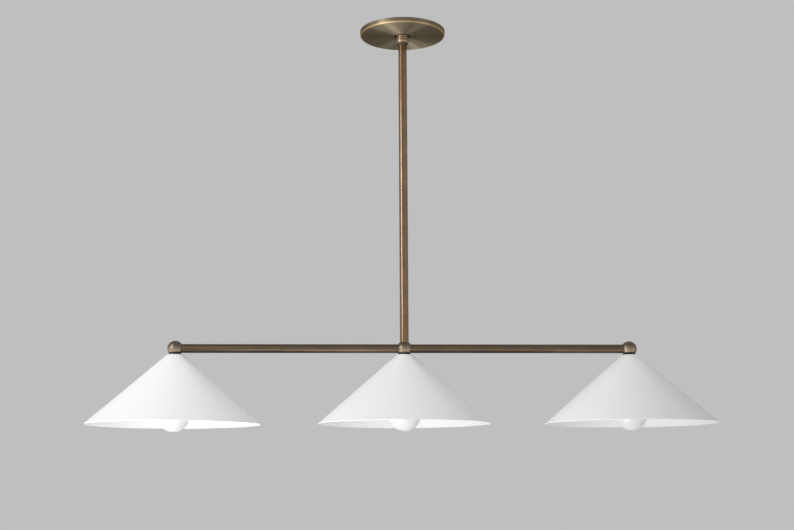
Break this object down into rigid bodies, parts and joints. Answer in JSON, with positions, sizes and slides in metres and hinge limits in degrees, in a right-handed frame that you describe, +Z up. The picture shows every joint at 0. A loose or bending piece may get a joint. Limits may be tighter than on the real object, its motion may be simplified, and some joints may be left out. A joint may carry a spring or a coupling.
{
  "type": "linear island pendant",
  "caption": "Linear island pendant: a round canopy and rigid stem carry a slim crossbar with ball joints and shallow white cone shades over screw-in opal bulbs.",
  "frame": {"origin": "centre of the two ceiling-box screw slots, in the ceiling plane and on the stem's axis", "axes": "+Z up into the ceiling, +X along the crossbar to the viewer's right, -Y towards the viewer"},
  "size_m": [0.904, 0.249, 0.6157],
  "materials": {
    "aged_brass": "aged, brushed",
    "zinc_steel": "zinc plated",
    "ground_green": "green dyed",
    "dark_washer": "matte",
    "white_enamel": "satin white paint",
    "cap_brass": "plain spun",
    "phenolic": "moulded",
    "shell_brass": "bright rolled",
    "contact_brass": "spring strip",
    "opal_glass": "opal",
    "bulb_base": "rolled thread",
    "bulb_insulator": "vitrified",
    "solder": "dull",
    "black_insulation": "extruded",
    "white_insulation": "extruded"
  },
  "bodies": {
    "ceiling_mount": {"mounting_strap": "zinc_steel", "strap_lock_nuts": "zinc_steel", "toothed_washer": "zinc_steel", "ground_screw": "ground_green", "ceiling_nipple": "zinc_steel"},
    "pendant_frame": {"stem_tube": "aged_brass", "left_arm_tube": "aged_brass", "right_arm_tube": "aged_brass", "centre_hub": "aged_brass", "left_end_ball": "aged_brass", "right_end_ball": "aged_brass", "joining_nipples": "zinc_steel", "seat_washers": "dark_washer", "clamp_nuts": "zinc_steel", "shade_nipples": "zinc_steel", "left_shade": "white_enamel", "left_socket_cap": "cap_brass", "left_socket_body": "phenolic", "left_screw_shell": "shell_brass", "left_centre_contact": "contact_brass", "left_terminals": "contact_brass", "left_hot_lead": "black_insulation", "left_neutral_lead": "white_insulation", "centre_shade": "white_enamel", "centre_socket_cap": "cap_brass", "centre_socket_body": "phenolic", "centre_screw_shell": "shell_brass", "centre_centre_contact": "contact_brass", "centre_terminals": "contact_brass", "centre_hot_lead": "black_insulation", "centre_neutral_lead": "white_insulation", "right_shade": "white_enamel", "right_socket_cap": "cap_brass", "right_socket_body": "phenolic", "right_screw_shell": "shell_brass", "right_centre_contact": "contact_brass", "right_terminals": "contact_brass", "right_hot_lead": "black_insulation", "right_neutral_lead": "white_insulation"},
    "canopy": {"canopy": "aged_brass", "slip_collar": "aged_brass", "collar_set_screw": "aged_brass"},
    "left_bulb": {"left_bulb_glass": "opal_glass", "left_bulb_shell": "bulb_base", "left_bulb_insulator": "bulb_insulator", "left_bulb_tip": "solder"},
    "centre_bulb": {"centre_bulb_glass": "opal_glass", "centre_bulb_shell": "bulb_base", "centre_bulb_insulator": "bulb_insulator", "centre_bulb_tip": "solder"},
    "right_bulb": {"right_bulb_glass": "opal_glass", "right_bulb_shell": "bulb_base", "right_bulb_insulator": "bulb_insulator", "right_bulb_tip": "solder"}
  },
  "joints": [
    {"name": "stem_turn", "type": "hinge", "parent": "ceiling_mount", "child": "pendant_frame", "pos_m": [0, 0, 0], "axis": [0, 0, 1], "range_deg": [-180, 180]},
    {"name": "canopy_slide", "type": "slide", "parent": "pendant_frame", "child": "canopy", "axis": [0, 0, -1], "range_m": [0, 0.445]},
    {"name": "left_bulb_unscrew", "type": "slide", "parent": "pendant_frame", "child": "left_bulb", "axis": [0, 0, -1], "range_m": [0, 0.0254]},
    {"name": "centre_bulb_unscrew", "type": "slide", "parent": "pendant_frame", "child": "centre_bulb", "axis": [0, 0, -1], "range_m": [0, 0.0254]},
    {"name": "right_bulb_unscrew", "type": "slide", "parent": "pendant_frame", "child": "right_bulb", "axis": [0, 0, -1], "range_m": [0, 0.0254]}
  ]
}
